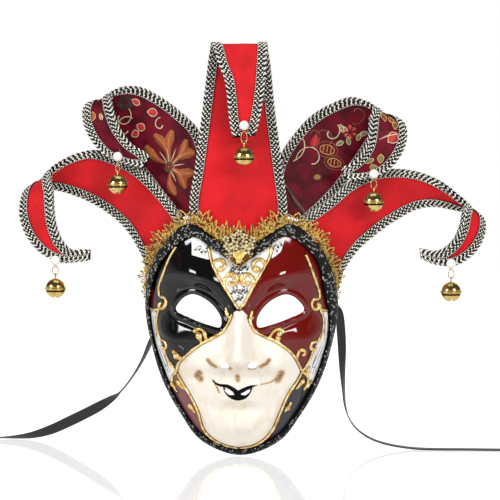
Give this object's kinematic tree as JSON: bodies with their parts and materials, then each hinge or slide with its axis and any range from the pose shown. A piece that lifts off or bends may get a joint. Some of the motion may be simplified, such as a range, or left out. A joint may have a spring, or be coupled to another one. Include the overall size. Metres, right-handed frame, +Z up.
{
  "type": "jester carnival mask",
  "caption": "Full-face carnival mask, a hollow painted shell with curled jester horns edged in braid, jingle bells, gold lace and ribbon ties.",
  "frame": {"origin": "on the face's middle line, at the height of the eyes, in the plane of the rim at the temples, where the wearer's face sits", "axes": "+Z up, -Y out of the front of the face, +X to the viewer's right"},
  "size_m": [0.488, 0.1289, 0.3718],
  "materials": {
    "painted_shell": "moulded shell, lacquered, painted ivory, black and dark red with raised gold lines",
    "black_braid": "black twisted gimp braid",
    "gold_lace": "metallic gold lace",
    "gold_filigree": "gilt filigree",
    "red_velvet": "short-pile red velvet",
    "brocade": "burgundy satin brocade with woven flowers",
    "silver_braid": "black and silver plaited braid",
    "pearl": "pearl lustre",
    "brass_wire": "plain wire",
    "bell_brass": "polished, brassed",
    "black_ribbon": "black satin"
  },
  "bodies": {
    "root": {"mask_shell": "painted_shell", "rim_braid": "black_braid", "lace_trim": "gold_lace", "medallion": "gold_filigree", "ribbon_left": "black_ribbon", "ribbon_right": "black_ribbon", "horn_centre": "red_velvet", "horn_centre_braid_a": "silver_braid", "horn_centre_braid_b": "silver_braid", "horn_left_red": "red_velvet", "horn_left_red_braid_a": "silver_braid", "horn_left_red_braid_b": "silver_braid", "horn_right_red": "red_velvet", "horn_right_red_braid_a": "silver_braid", "horn_right_red_braid_b": "silver_braid", "horn_left_brocade": "brocade", "horn_left_brocade_braid_a": "silver_braid", "horn_left_brocade_braid_b": "silver_braid", "horn_right_brocade": "brocade", "horn_right_brocade_braid_a": "silver_braid", "horn_right_brocade_braid_b": "silver_braid", "pearl_1": "pearl", "bell_link_1": "brass_wire", "bell_1": "bell_brass", "pearl_2": "pearl", "bell_link_2": "brass_wire", "bell_2": "bell_brass", "pearl_3": "pearl", "bell_link_3": "brass_wire", "bell_3": "bell_brass", "pearl_4": "pearl", "bell_link_4": "brass_wire", "bell_4": "bell_brass", "pearl_5": "pearl", "bell_link_5": "brass_wire", "bell_5": "bell_brass"}
  },
  "joints": []
}
